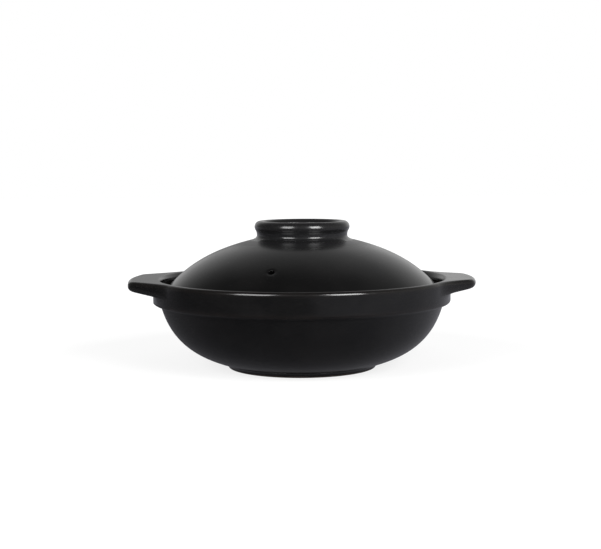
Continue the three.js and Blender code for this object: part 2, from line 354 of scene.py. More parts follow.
# %% [markdown]
# ## The collar
# The collar is the upright band round the mouth. Outside it is a plain cylinder with soft edges; inside it
# has a gallery: a ledge for the lid, with a softly rolled edge above it. The band could be extruded and
# bevelled, but turning one section that holds all of it gives exact roundings. The light on the inner
# edge suggests that it is softer on the right than on the left, so the section is a function of the turn.
# Its underside ends in a small fillet on the bowl. The ledge is wiped bare, so that lid and pot don't
# fuse in the kiln.

# %% Centres of the collar's roundings
COLLAR_LOWER_EDGE = 2.3
RIM_OUTER_EDGE = 2.5
COLLAR_WALL = 5.6
GALLERY_FILLET = 1.2
LEDGE_EDGE = 1.2
UNDER_FILLET = 1.6

gallery_radius = collar_radius - COLLAR_WALL
low_centre = (collar_radius - COLLAR_LOWER_EDGE, collar_bottom + COLLAR_LOWER_EDGE)
outer_centre = (collar_radius - RIM_OUTER_EDGE, rim_top - RIM_OUTER_EDGE)
gallery_centre = (gallery_radius - GALLERY_FILLET, ledge_top + GALLERY_FILLET)
ledge_centre = (MOUTH_RADIUS + LEDGE_EDGE, ledge_top - LEDGE_EDGE)
bowl_meets = np.array([bowl_radius, collar_bottom])
on_bowl = bowl_meets - heading(BOWL_RISE_AT_COLLAR) * UNDER_FILLET
under_reach = FILLET_PULL * UNDER_FILLET
under_fillet = pulled_controls(
    on_bowl, BOWL_RISE_AT_COLLAR, under_reach, bowl_meets + (UNDER_FILLET, 0), 0, under_reach
)
print("gallery radius", round(gallery_radius, 2), "ledge at", round(ledge_top, 2))

# %% Shape the collar
RIM_INNER_LEFT = (2.2, 3.6)
RIM_INNER_RIGHT = (3.0, 5.6)
COLLAR_ON_BOWL = 2.5
LEDGE_BARE_HEIGHT = 1.0
LEDGE_BARE_MARGIN = 0.4


def collar_section(turn):
    """Section of the collar, whose rolled inner edge grows softer from the left to the right."""
    right = (1 + math.cos(turn)) / 2
    wide, high = np.array(RIM_INNER_LEFT) * (1 - right) + np.array(RIM_INNER_RIGHT) * right
    inner_centre = (gallery_radius + wide, rim_top - high)
    return section(
        straight((MOUTH_RADIUS, collar_bottom), (bowl_radius - COLLAR_ON_BOWL, collar_bottom), 2),
        straight((bowl_radius - COLLAR_ON_BOWL, collar_bottom), on_bowl, 2),
        curve_run(under_fillet, 8),
        straight(bowl_meets + (UNDER_FILLET, 0), (low_centre[0], collar_bottom), 2),
        rounding(low_centre, COLLAR_LOWER_EDGE, -90, 0, 10),
        straight((collar_radius, low_centre[1]), (collar_radius, outer_centre[1]), 6),
        rounding(outer_centre, RIM_OUTER_EDGE, 0, 90, 12),
        straight((outer_centre[0], rim_top), (inner_centre[0], rim_top), 3),
        quarter(inner_centre, wide, high, 90, 180, 14),
        straight((gallery_radius, inner_centre[1]), (gallery_radius, gallery_centre[1]), 3),
        rounding(gallery_centre, GALLERY_FILLET, 0, -90, 6),
        straight((gallery_centre[0], ledge_top), (ledge_centre[0], ledge_top), 4),
        rounding(ledge_centre, LEDGE_EDGE, 90, 180, 6),
        straight((MOUTH_RADIUS, ledge_centre[1]), (MOUTH_RADIUS, collar_bottom), 4)[:-1],
    )


def bare_ledge(radius, height):
    level = abs(height - ledge_top) < LEDGE_BARE_HEIGHT
    return 1.0 if level and radius < gallery_radius - LEDGE_BARE_MARGIN else 0.0


collar_band = turned("collar_band", collar_section, ring=True, marks={"bare": bare_ledge})

# %% [markdown]
# ## The ears
# Each ear is a flat lug, pressed out and stuck on level with the rim. Its sides run out of the collar in a
# hollow curve and its end is blunt and slightly bowed. A flat plate with a bevel would do from afar, but
# the join would be a hard line. So the ear is drawn as many upright sections fanned round the pot's axis.
# Each has a fillet under the plate, a round edge and a level top, and all of these shrink with the ear's
# reach, until the section is the collar itself and the ear has melted into it. The two ears aren't quite
# alike: the right one is thinner and narrower, and the left one is turned back by one degree.

# %% Plan of an ear
EAR_HALF_END = 18
EAR_END_BOW = 1.6
LEFT_PLAN = {
    "root": 32.5, "root_pull": 8, "corner": (7.4, 33.4), "side": 38, "side_pull": 19, "corner_pull": 7.5,
}
RIGHT_PLAN = {
    "root": 28.5, "root_pull": 9, "corner": (7.6, 28.5), "side": 33, "side_pull": 16, "corner_pull": 5,
}


def ear_plan(tip, root, root_pull, corner, side, side_pull, corner_pull):
    """Half of the ear's outline, from its root on the collar to the middle of its end."""
    start = heading(root) * collar_radius
    turning = (tip - corner[0], corner[1])
    end = np.array([tip - EAR_END_BOW, EAR_HALF_END])
    far_end = end * (1, -1)
    bow = np.array([tip + EAR_END_BOW, 0])
    end_angle = math.degrees(math.atan2(*(bow - end)[::-1]))
    side_run = pulled_controls(start, root - 90, root_pull, turning, -side, side_pull)
    turn = pulled_controls(turning, -side, corner_pull, end, end_angle, corner_pull)
    middle = np.array([tip, 0])
    shares = np.linspace(0, 0.5, 9)
    blunt = [end * (1 - t) ** 2 + 2 * bow * t * (1 - t) + far_end * t * t for t in shares]
    return section(curve_run(side_run, 36), curve_run(turn, 16), np.array(blunt[:-1] + [middle]))


left_half, right_half = ear_plan(ear_tip, **LEFT_PLAN), ear_plan(ear_tip, **RIGHT_PLAN)
print("ear plan points", len(left_half), len(right_half), "tip at", round(ear_tip, 1))

# %% Sections of an ear
EAR_FILLET = (3.2, 5.5)
EAR_LOW_EDGE = 4.0
EAR_TOP_EDGE = (3.4, 3.0)
EAR_INTO_COLLAR = 4.0
EAR_UNDER_RIM = 0.06
EAR_ROOT_DROPS = (1, 0.5)
EAR_BACK_DROP = 1
THIN = 1e-3


def ear_section(reach, full_reach, thickness):
    """Closed section of an ear where it stands that far out of the collar."""
    grown = held(reach / (EAR_FILLET[0] + EAR_LOW_EDGE))
    out = held(reach / full_reach)
    under = rim_top - thickness[0] + (thickness[0] - thickness[1]) * out
    fillet_wide, fillet_high = EAR_FILLET[0] * grown, EAR_FILLET[1]
    low_edge = EAR_LOW_EDGE * grown
    low_high = min(EAR_LOW_EDGE, (rim_top - under) / 2)
    top_high = RIM_OUTER_EDGE + (EAR_TOP_EDGE[1] - RIM_OUTER_EDGE) * grown
    top_wide = RIM_OUTER_EDGE + (EAR_TOP_EDGE[0] - RIM_OUTER_EDGE) * grown
    tip = collar_radius + reach
    root_line = rim_top - thickness[0] - fillet_high
    root = (collar_radius - EAR_UNDER_RIM, root_line - EAR_ROOT_DROPS[1])
    inside = collar_radius - EAR_INTO_COLLAR
    crest = outer_centre[0]
    fillet_centre = (collar_radius + fillet_wide, under - fillet_high)
    return section(
        straight((inside, root_line - EAR_ROOT_DROPS[0]), root, 1),
        quarter(fillet_centre, fillet_wide + THIN, fillet_high, 180, 90),
        straight((collar_radius + fillet_wide + THIN, under), (tip - low_edge, under), 8),
        quarter((tip - low_edge, under + low_high), low_edge + THIN, low_high, -90, 0),
        straight((tip, under + low_high), (tip, rim_top - top_high), 2),
        quarter((tip - top_wide, rim_top - top_high), top_wide, top_high, 0, 90),
        straight((tip - top_wide, rim_top), (crest, rim_top), 10),
        straight((crest, rim_top), (crest - THIN, rim_top - THIN), 1),
        straight((crest - THIN, rim_top - THIN), (inside, rim_top - EAR_BACK_DROP), 1),
    )


print("an ear's edges reach full size", EAR_FILLET[0] + EAR_LOW_EDGE, "mm out of the collar")

# %% Shape both ears
LEFT_THICKNESS = (11.1, 7.7)
RIGHT_THICKNESS = (10.3, 6.9)
LEFT_TURNED_BACK = 1.0


def ear(name, side, half_plan, thickness, turned_back):
    """An ear on the +X side (side = 1) or the -X side (side = -1), with its thickness at root and tip."""
    whole = np.vstack([half_plan, half_plan[-2::-1] * (1, -1)])
    turns = np.arctan2(whole[:, 1], whole[:, 0]) + math.radians(turned_back)
    reaches = np.hypot(whole[:, 0], whole[:, 1]) - collar_radius
    reaches[[0, -1]] = -EAR_UNDER_RIM
    points = []
    for turn, reach in zip(turns, reaches):
        chain = ear_section(reach, max(reaches), thickness)
        points.extend((side * r * math.cos(turn), r * math.sin(turn), z) for r, z in chain)
    size = len(chain)
    columns = len(whole)
    faces = [
        (c * size + i, c * size + (i + 1) % size, (c + 1) * size + (i + 1) % size, (c + 1) * size + i)
        for c in range(columns - 1) for i in range(size)
    ]
    faces.append(tuple(range(size)))
    faces.append(tuple((columns - 1) * size + i for i in range(size)))
    return clay(name, np.array(points), faces)


ear_left = ear("ear_left", -1, left_half, LEFT_THICKNESS, LEFT_TURNED_BACK)
ear_right = ear("ear_right", 1, right_half, RIGHT_THICKNESS, 0)

# %% [markdown]
# ## The lid's dome
# The dome falls slowly from the knob and faster towards its edge, which stands on the ledge inside the
# collar. Outside and inside are pulled curves again. The steam hole near the front gets a sharp edge in a
# shallow dimple, such as a tool that pierces soft clay can leave. It could be cut with a boolean, but
# that leaves long thin faces that show in the gloss. Instead a window is left open in the grid, outside
# and inside, and rings of faces lead from its border round the mouth of the hole, through the wall and
# out on the other side. The lid isn't set down quite in the middle: dome and knob stand about half a
# millimetre to the right.

# %% Section of the dome
LID_EDGE_HEIGHT = 3.2
LID_EDGE_ROUND = 1.4
LID_SHOULDER = 2.0
LID_FOOT_WIDTH = 6.5
LID_FOOT_CHAMFER = 0.9
LID_WALL = 5.5
CROWN_HOLLOW = 0.3
DOME_FALL_AT_KNOB = 13.7
DOME_FALL_AT_EDGE = 49
DOME_PULL = 24.4
DOME_ROWS = 48

shoulder_back = LID_SHOULDER * math.tan(math.radians((90 - DOME_FALL_AT_EDGE) / 2))
lid_corner = np.array([lid_radius, ledge_top + LID_EDGE_HEIGHT])
shoulder = lid_corner - heading(-DOME_FALL_AT_EDGE) * shoulder_back
shoulder_centre = shoulder - LID_SHOULDER * heading(90 - DOME_FALL_AT_EDGE)
dome_outer = pulled_controls(
    (knob_foot_radius, dome_top), -DOME_FALL_AT_KNOB, DOME_PULL, shoulder, -DOME_FALL_AT_EDGE, DOME_PULL
)
dome_inner = pulled_controls(
    (lid_radius - LID_FOOT_WIDTH, ledge_top + LID_EDGE_ROUND), 180 - DOME_FALL_AT_EDGE, DOME_PULL,
    (knob_foot_radius, dome_top - LID_WALL), 180 - DOME_FALL_AT_KNOB, DOME_PULL,
)
seat_centre = (lid_radius - LID_EDGE_ROUND, ledge_top + LID_EDGE_ROUND)
inner_foot = (lid_radius - LID_FOOT_WIDTH + LID_FOOT_CHAMFER, ledge_top)
crown = straight((0, dome_top), (knob_foot_radius, dome_top), 12)
under_top = dome_top - LID_WALL
under_crown = straight((knob_foot_radius, under_top), (0, under_top + CROWN_HOLLOW), 12)
dome_chain = section(
    crown,
    curve_run(dome_outer, DOME_ROWS),
    rounding(shoulder_centre, LID_SHOULDER, 90 - DOME_FALL_AT_EDGE, 0, 6),
    straight((lid_radius, shoulder_centre[1]), (lid_radius, seat_centre[1]), 1),
    rounding(seat_centre, LID_EDGE_ROUND, 0, -90, 6),
    straight((seat_centre[0], ledge_top), inner_foot, 3),
    straight(inner_foot, (lid_radius - LID_FOOT_WIDTH, ledge_top + LID_EDGE_ROUND), 3),
    curve_run(dome_inner, DOME_ROWS),
    under_crown,
)
outer_row = len(crown) - 1
inner_row = len(dome_chain) - len(under_crown) - DOME_ROWS
print("dome section points", len(dome_chain))

# %% Find the place of the steam hole
HOLE_FROM_AXIS = 80.2
HOLE_LEFT_OF_FRONT = 15.4
HOLE_TURN = math.radians(-90 - HOLE_LEFT_OF_FRONT)
FINE_STEPS = 4001
NUDGE = 1e-4


def on_surface(controls, t, turn):
    """Point of the dome at a share of its curve and a turn round the axis."""
    radius, height = curve_point(controls, t)
    return np.array([radius * math.cos(turn), radius * math.sin(turn), height])


def place_at_radius(controls, radius):
    """Share of a curve at which it passes a radius."""
    shares = np.linspace(0, 1, FINE_STEPS)
    radii = np.array([curve_point(controls, t)[0] for t in shares])
    return shares[np.abs(radii - radius).argmin()]


def nudged(controls, t):
    """Small step along a curve, over a share of twice NUDGE."""
    return curve_point(controls, t + NUDGE) - curve_point(controls, t - NUDGE)


hole_t = place_at_radius(dome_outer, HOLE_FROM_AXIS)
slope = nudged(dome_outer, hole_t)
slope /= np.hypot(*slope)
bore_inwards = np.array([slope[1] * math.cos(HOLE_TURN), slope[1] * math.sin(HOLE_TURN), -slope[0]])
bore_end = curve_point(dome_outer, hole_t) + LID_WALL * np.array([slope[1], -slope[0]])
hole_inner_t = place_at_radius(dome_inner, bore_end[0])
print("steam hole at", np.round(on_surface(dome_outer, hole_t, HOLE_TURN), 1).tolist(), "mm")

# %% Round the mouths of the hole
BORE_RADIUS = 2.35
DIMPLE = (2.6, 0.27)
OUTSIDE_EDGE = 0.15
INSIDE_EDGE = 0.8
EDGE_RINGS = 6


def mouth(edge, dimple=None):
    """Radius and depth from the dome into the bore: down a dimple, if there is one, and round the edge."""
    reach, sunk = dimple or (0, 0)
    fall = math.atan2(2 * sunk, reach) if dimple else 0
    hollow = np.linspace(1, 0, EDGE_RINGS + 1)[:-1] if dimple else []
    edge_start = BORE_RADIUS + edge * (1 - math.sin(fall))
    turns = np.linspace(fall, math.pi / 2, EDGE_RINGS + 1)
    profile = [(edge_start + reach * share, sunk * (1 - share) ** 2) for share in hollow]
    for a in turns:
        depth = sunk + edge * (math.cos(fall) - math.cos(a))
        profile.append((BORE_RADIUS + edge * (1 - math.sin(a)), depth))
    return profile


outside_mouth, inside_mouth = mouth(OUTSIDE_EDGE, DIMPLE), mouth(INSIDE_EDGE)
print("rings of the mouth outside", len(outside_mouth), "inside", len(inside_mouth))

# %% A window in the dome's grid
WINDOW = 6
BORDER_RINGS = 6


class Window:
    """A square left open in the dome's grid, with rings of points from its border to the hole."""

    def __init__(self, controls, hole_t, first_row, sign, profile):
        self.controls, self.t, self.sign, self.profile = controls, hole_t, sign, profile
        self.radius = curve_point(controls, hole_t)[0]
        self.speed = np.hypot(*nudged(controls, hole_t)) / (2 * NUDGE)
        self.row = first_row + round(hole_t * DOME_ROWS) - WINDOW
        self.column = round(HOLE_TURN / (2 * math.pi) * TURN_STEPS) % TURN_STEPS - WINDOW // 2
        self.first_row = first_row

    def cells(self):
        return {(self.row + i, self.column + j) for i in range(2 * WINDOW) for j in range(WINDOW)}

    def border(self):
        """Grid places round the window, in order, as (row, column)."""
        top, left, bottom, right = self.row, self.column, self.row + 2 * WINDOW, self.column + WINDOW
        return (
            [(top, column) for column in range(left, right)]
            + [(row, right) for row in range(top, bottom)]
            + [(bottom, column) for column in range(right, left, -1)]
            + [(row, left) for row in range(bottom, top, -1)]
        )

    def offsets(self):
        """Border points as millimetres along and down the dome, from the hole's centre."""
        spots = []
        for row, column in self.border():
            turn = column / TURN_STEPS * 2 * math.pi - HOLE_TURN
            turn = (turn + math.pi) % (2 * math.pi) - math.pi
            down = ((row - self.first_row) / DOME_ROWS - self.t) * self.speed
            spots.append((turn * self.radius, self.sign * down))
        return np.array(spots)

    def lay(self, spots, depth):
        """Points of a ring on the dome, sunk towards the middle of the wall."""
        return [
            on_surface(self.controls, self.t + self.sign * v / self.speed, HOLE_TURN + u / self.radius)
            + self.sign * depth * bore_inwards
            for u, v in spots
        ]

    def rings(self):
        """Rings from the border, which is square, to the round mouth and down into the bore."""
        square = self.offsets()
        circle = square / np.linalg.norm(square, axis=1, keepdims=True)
        widest = self.profile[0][0]
        shares = [k / BORDER_RINGS for k in range(1, BORDER_RINGS)]
        rings = [self.lay(square * (1 - share) + circle * widest * share, 0) for share in shares]
        return rings + [self.lay(circle * radius, depth) for radius, depth in self.profile]


outside = Window(dome_outer, hole_t, outer_row, 1, outside_mouth)
inside = Window(dome_inner, hole_inner_t, inner_row, -1, inside_mouth)
print("windows of", len(outside.cells()), "faces, border points", len(outside.border()))

# %% Build the dome with its hole
BORE_RINGS = 3


def dome(name, marks):
    """The dome's grid without its two windows, with rings of faces through the wall between them."""
    points = list(turned_grid(dome_chain).reshape(-1, 3))
    closed = outside.cells() | inside.cells()
    faces = [
        face for face in grid_faces(len(dome_chain), TURN_STEPS, ring=False)
        if (face[0] // TURN_STEPS, face[0] % TURN_STEPS) not in closed
    ]
    size = len(outside.border())

    def add_ring(ring):
        start = len(points)
        points.extend(ring)
        return [start + k for k in range(size)]

    def join(one, other):
        for k in range(size):
            n = (k + 1) % size
            faces.append((one[k], one[n], other[n], other[k]))

    def lead_in(window):
        loop = [row * TURN_STEPS + column % TURN_STEPS for row, column in window.border()]
        for ring in window.rings():
            following = add_ring(ring)
            join(loop, following)
            loop = following
        return loop

    near = lead_in(outside)
    far = lead_in(inside)
    far_points = np.array([points[i] for i in far])

    def length_of(way):
        shift, flip = way
        paired = [far_points[(shift + flip * k) % size] for k in range(size)]
        return sum(np.linalg.norm(points[i] - p) for i, p in zip(near, paired))

    shift, flip = min(((shift, flip) for shift in range(size) for flip in (1, -1)), key=length_of)
    far = [far[(shift + flip * k) % size] for k in range(size)]
    loop = near
    for step in range(1, BORE_RINGS + 1):
        share = step / (BORE_RINGS + 1)
        following = add_ring([points[a] * (1 - share) + points[b] * share for a, b in zip(near, far)])
        join(loop, following)
        loop = following
    join(loop, far)
    return clay(name, np.array(points), faces, marks)


print("rings through the wall:", BORE_RINGS)

# %% Mark the dome and set it down
SATIN_START = 46
SATIN_END = 56
SEAT_BARE_HEIGHT = 1.0
SEAT_BARE_MARGIN = 1
LID_SET_DOWN = 0.45


def crown_dull_and_sheen(radius, height):
    return held((SATIN_END - radius) / (SATIN_END - SATIN_START))


def bare_seat(radius, height):
    low = height < ledge_top + SEAT_BARE_HEIGHT
    return 1.0 if low and radius > lid_radius - LID_FOOT_WIDTH - SEAT_BARE_MARGIN else 0.0


def set_down(piece):
    """Move a piece of the lid to where the lid stands, a little off the axis."""
    piece.data.transform(Matrix.Translation((LID_SET_DOWN * MM, 0, 0)))


# The crown round the knob is duller glaze, and its colour is also painted paler as a painted sheen.
dome_lid = dome("dome_lid", {"bare": bare_seat, "satin": crown_dull_and_sheen, "painted_sheen": crown_dull_and_sheen})
set_down(dome_lid)

# %% [markdown]
# ## The ring knob
# The knob is a hollow ring: a flared foot that runs out onto the dome, a slight waist, and a rolled lip to
# hold. It could be a torus on a tube, but the two would meet in a crease. One section with pulled curves
# between foot, waist and lip keeps the light moving over it in unbroken bands.

# %% Shape the knob
KNOB_LIP_OUTER = (4.0, 4.25)
KNOB_LIP_INNER = (4.2, 4.4)
KNOB_LIP_START = 34
KNOB_RADIUS = 35.15
KNOB_WAIST_INSET = 1.65
KNOB_WAIST_HEIGHT = 3.65
KNOB_FLARE_PULLS = (2.4, 1.95)
KNOB_BORE = 26.8
KNOB_RUN_OUT = 0.2
KNOB_HOLLOW_FILLET = 3.0
KNOB_FLOOR_RISE = 0.1
KNOB_INTO_DOME = 1.2

lip_crest = KNOB_RADIUS - KNOB_LIP_OUTER[0]
outer_lip = quarter((lip_crest, knob_top - KNOB_LIP_OUTER[1]), *KNOB_LIP_OUTER, -KNOB_LIP_START, 90, 18)
inner_lip = quarter((lip_crest, knob_top - KNOB_LIP_INNER[1]), *KNOB_LIP_INNER, 90, 180, 14)
lip_start = outer_lip[0]
waist = np.array([KNOB_RADIUS - KNOB_WAIST_INSET, dome_top + KNOB_WAIST_HEIGHT])
run_out = curve_point(dome_outer, place_at_radius(dome_outer, knob_foot_radius + KNOB_RUN_OUT))
to_lip = (lip_start[1] - waist[1]) / 3
flare = pulled_controls(
    run_out, 180 - DOME_FALL_AT_KNOB, KNOB_FLARE_PULLS[0], waist, 90, KNOB_FLARE_PULLS[1]
)
hollow_centre = (KNOB_BORE - KNOB_HOLLOW_FILLET, dome_top + KNOB_HOLLOW_FILLET + KNOB_FLOOR_RISE)
knob_floor = dome_top - KNOB_INTO_DOME
knob_chain = section(
    straight((hollow_centre[0], knob_floor), (knob_foot_radius, knob_floor), 3),
    straight((knob_foot_radius, knob_floor), run_out, 2),
    curve_run(flare, 18),
    curve_run(pulled_controls(waist, 90, to_lip, lip_start, 90 - KNOB_LIP_START, to_lip), 8),
    outer_lip,
    inner_lip,
    straight(inner_lip[-1], (KNOB_BORE, hollow_centre[1]), 5),
    rounding(hollow_centre, KNOB_HOLLOW_FILLET, 0, -90, 8),
    straight((hollow_centre[0], dome_top + KNOB_FLOOR_RISE), (hollow_centre[0], knob_floor), 1)[:-1],
)


# The whole knob is painted paler as a painted sheen.
def sheen_painted_knob(radius, height):
    return 1.0


ring_knob = turned("ring_knob", knob_chain, ring=True, marks={"painted_sheen": sheen_painted_knob})
set_down(ring_knob)

# %% [markdown]
# ## The glaze
# The glaze is a satin black glass. Close up it is never one value: it is a little thinner and browner on
# edges, its gloss drifts over a few centimetres, its skin has a faint orange peel, and here and there a
# pinhole is left by a burst bubble. The knob, and the dome round the knob's foot, are painted a little paler:
# a painted sheen for light reflected there. Round the knob's foot the glaze is also duller. Each of these
# could be painted by hand, but node groups follow the marks of the mesh, and glaze and clay can share them.
# Groups put out colours, masks and heights; the shader itself stays in the material.

# %% Helpers that make nodes
def feed(tree, socket, value):
    """Link another node's output to a socket, or set the socket's own value."""
    if isinstance(value, bpy.types.NodeSocket):
        tree.links.new(value, socket)
    else:
        socket.default_value = value


def node(tree, kind, values=(), **settings):
    """A node with its settings, and values or links for its sockets by name."""
    made = tree.nodes.new("ShaderNode" + kind)
    for key, value in settings.items():
        setattr(made, key, value)
    for key, value in dict(values).items():
        feed(tree, made.inputs[key], value)
    return made


def group(name, inputs, outputs):
    """An empty node group with named sockets, given as (name, socket kind, default)."""
    tree = bpy.data.node_groups.new(name, "ShaderNodeTree")
    for label, kind, start in inputs:
        socket = tree.interface.new_socket(label, in_out="INPUT", socket_type="NodeSocket" + kind)
        socket.default_value = start
    for label, kind in outputs:
        tree.interface.new_socket(label, in_out="OUTPUT", socket_type="NodeSocket" + kind)
    return tree, tree.nodes.new("NodeGroupInput"), tree.nodes.new("NodeGroupOutput")


def place(tree):
    """Place on the piece itself, in metres."""
    return node(tree, "TexCoord").outputs["Object"]


def mark_of(tree, label):
    """A mark that the mesh carries."""
    return node(tree, "Attribute", attribute_name=label).outputs["Fac"]


print("helpers that make nodes are ready")

# %% Helpers that change values
MIX_SOCKETS = {"RGBA": (0, 6, 7, 2), "FLOAT": (0, 2, 3, 0)}
NOISE_ROUGHNESS = 0.55


def scaled(tree, value, low, high, to_low=0, to_high=1):
    """A value moved from one range to another, held at the ends."""
    limits = {"From Min": low, "From Max": high, "To Min": to_low, "To Max": to_high}
    return node(tree, "MapRange", {"Value": value, **limits}).outputs["Result"]


def sums(tree, operation, one, other):
    """Two values added, multiplied and the like."""
    made = node(tree, "Math", operation=operation)
    feed(tree, made.inputs[0], one)
    feed(tree, made.inputs[1], other)
    return made.outputs[0]


def mixed(tree, share, one, other, kind="RGBA", blend="MIX"):
    """One colour or value fading into another, or tinted by it."""
    made = node(tree, "Mix", data_type=kind, blend_type=blend)
    *sockets, result = MIX_SOCKETS[kind]
    for socket, value in zip(sockets, (share, one, other)):
        feed(tree, made.inputs[socket], value)
    return made.outputs[result]


def ramp(tree, value, stops):
    """Grey levels along a value from 0 to 1."""
    made = node(tree, "ValToRGB", {"Fac": value})
    elements = made.color_ramp.elements
    elements[0].position, elements[1].position = stops[0][0], stops[-1][0]
    for position, _ in stops[1:-1]:
        elements.new(position)
    for element, (_, grey) in zip(elements, stops):
        element.color = (grey, grey, grey, 1)
    return made.outputs[0]


def noise(tree, scale, detail, spot):
    """Soft random drift between 0 and 1."""
    values = {"Vector": spot, "Scale": scale, "Detail": detail, "Roughness": NOISE_ROUGHNESS}
    return node(tree, "TexNoise", values).outputs["Fac"]


print("helpers that change values are ready")

# %% Group: the drifting tone and skin of a glaze
MOTTLE_TONE = (0.35, 0.68)
MOTTLE_GLOSS = (0.3, 0.7)
# A paler grey painted on as a sheen, standing in for light reflected on the knob and round its foot.
SHEEN_PAINT = (0.008, 0.008, 0.0085, 1)
SATIN_ROUGHER = 0.13
PEEL_SHARE = 0.35
PINHOLE_CELLS = 210.0
PINHOLE_RARE = (0.97, 0.98)
PINHOLE_REACH = (0.05, 0.13)
PINHOLE_ROUGHER = 0.3


def glaze_skin():
    tree, ins, outs = group(
        "glaze_skin",
        [("Deep", "Color", (0.002, 0.002, 0.0021, 1)), ("Pale", "Color", (0.0042, 0.004, 0.004, 1)),
         ("Mottle scale", "Float", 34.0), ("Peel scale", "Float", 520.0),
         ("Least gloss", "Float", 0.205), ("Most gloss", "Float", 0.15)],
        [("Color", "Color"), ("Roughness", "Float"), ("Height", "Float")],
    )
    start = ins.outputs
    spot = place(tree)
    mottle = noise(tree, start["Mottle scale"], 4, spot)
    tone = mixed(tree, scaled(tree, mottle, *MOTTLE_TONE), start["Deep"], start["Pale"])
    # Painted sheen: the marked knob and dome crown are lifted to that paler grey.
    tone = mixed(tree, mark_of(tree, "painted_sheen"), tone, SHEEN_PAINT)
    cells = node(tree, "TexVoronoi", {"Vector": spot, "Scale": PINHOLE_CELLS})
    chosen = node(tree, "SeparateColor", {"Color": cells.outputs["Color"]})
    rare = scaled(tree, chosen.outputs[0], *PINHOLE_RARE)
    dot = scaled(tree, cells.outputs["Distance"], *PINHOLE_REACH, 1, 0)
    pinhole = sums(tree, "MULTIPLY", rare, dot)
    peel = sums(tree, "MULTIPLY", noise(tree, start["Peel scale"], 2, spot), PEEL_SHARE)
    gloss = mixed(
        tree, scaled(tree, mottle, *MOTTLE_GLOSS), start["Most gloss"], start["Least gloss"], "FLOAT"
    )
    rough = sums(tree, "ADD", gloss, sums(tree, "MULTIPLY", pinhole, PINHOLE_ROUGHER))
    dull = sums(tree, "MULTIPLY", mark_of(tree, "satin"), SATIN_ROUGHER)
    tree.links.new(tone, outs.inputs["Color"])
    tree.links.new(sums(tree, "ADD", rough, dull), outs.inputs["Roughness"])
    tree.links.new(sums(tree, "SUBTRACT", peel, pinhole), outs.inputs["Height"])
    return tree


groups = {"skin": glaze_skin()}
print("node group:", groups["skin"].name)

# %% Group: glaze that thins on edges
EDGE_MARK = (0.15, 1)
EDGE_BREAK_SCALE = 160.0
EDGE_BREAK = (0.3, 0.62, 0.25, 1)
EDGE_ROUGHER = 0.06


def edge_thinning():
    tree, ins, outs = group(
        "edge_thinning",
        [("Color", "Color", (0.01, 0.01, 0.01, 1)), ("Roughness", "Float", 0.25),
         ("Thin colour", "Color", (0.012, 0.008, 0.0065, 1)), ("Amount", "Float", 0.25)],
        [("Color", "Color"), ("Roughness", "Float")],
    )
    start = ins.outputs
    broken = scaled(tree, noise(tree, EDGE_BREAK_SCALE, 3, place(tree)), *EDGE_BREAK)
    edge = sums(tree, "MULTIPLY", scaled(tree, mark_of(tree, "edge"), *EDGE_MARK), broken)
    thin = sums(tree, "MULTIPLY", edge, start["Amount"])
    rougher = sums(tree, "MULTIPLY", thin, EDGE_ROUGHER)
    tree.links.new(mixed(tree, thin, start["Color"], start["Thin colour"]), outs.inputs["Color"])
    tree.links.new(sums(tree, "ADD", start["Roughness"], rougher), outs.inputs["Roughness"])
    return tree


groups["edges"] = edge_thinning()
print("node group:", groups["edges"].name)

# %% Group: bare fired clay, and the ragged line where the glaze ends
GRAIN_SHARE = 0.6
PATCH_SHARE = 0.4
PATCH_SCALE = 70.0
CLAY_TONE = (0.36, 0.64)
CLAY_ROUGHNESS = (0.3, 0.7, 0.78, 0.92)
RAGGED_SCALE = 120.0
RAGGED_DRIFT = (0.3, 0.7, -0.14, 0.14)
GLAZE_END = (0.46, 0.56)


def bare_clay():
    tree, ins, outs = group(
        "bare_clay",
        [("Dark clay", "Color", (0.022, 0.0145, 0.0115, 1)),
         ("Pale clay", "Color", (0.042, 0.029, 0.0235, 1)), ("Grain scale", "Float", 900.0)],
        [("Color", "Color"), ("Roughness", "Float"), ("Height", "Float"), ("Bare", "Float")],
    )
    start = ins.outputs
    spot = place(tree)
    grain = noise(tree, start["Grain scale"], 4, spot)
    patch = sums(tree, "MULTIPLY", noise(tree, PATCH_SCALE, 3, spot), PATCH_SHARE)
    both = sums(tree, "ADD", sums(tree, "MULTIPLY", grain, GRAIN_SHARE), patch)
    tone = mixed(tree, scaled(tree, both, *CLAY_TONE), start["Dark clay"], start["Pale clay"])
    drift = scaled(tree, noise(tree, RAGGED_SCALE, 2, spot), *RAGGED_DRIFT)
    ragged = sums(tree, "ADD", mark_of(tree, "bare"), drift)
    tree.links.new(tone, outs.inputs["Color"])
    tree.links.new(scaled(tree, grain, *CLAY_ROUGHNESS), outs.inputs["Roughness"])
    tree.links.new(grain, outs.inputs["Height"])
    tree.links.new(scaled(tree, ragged, *GLAZE_END), outs.inputs["Bare"])
    return tree


groups["clay"] = bare_clay()
print("node group:", groups["clay"].name)

# %% [markdown]
# ## Two materials
# Most of the pot wears the plain glaze. The pieces with a wiped face, which are the foot, the ledge and the
# lid's edge, wear a glaze that stops at a ragged line and shows the dark clay beyond it. A second material
# on the wiped faces would do, but its border would follow the faces. The glaze is a Principled shader with
# the reflectance of glass; nothing in it is metal, and the gloss comes from roughness alone.

# %% Make the glazes
GLAZE_IOR = 1.55
PEEL_DEPTH = 0.00002


def placed(tree, key):
    made = tree.nodes.new("ShaderNodeGroup")
    made.node_tree = groups[key]
    return made


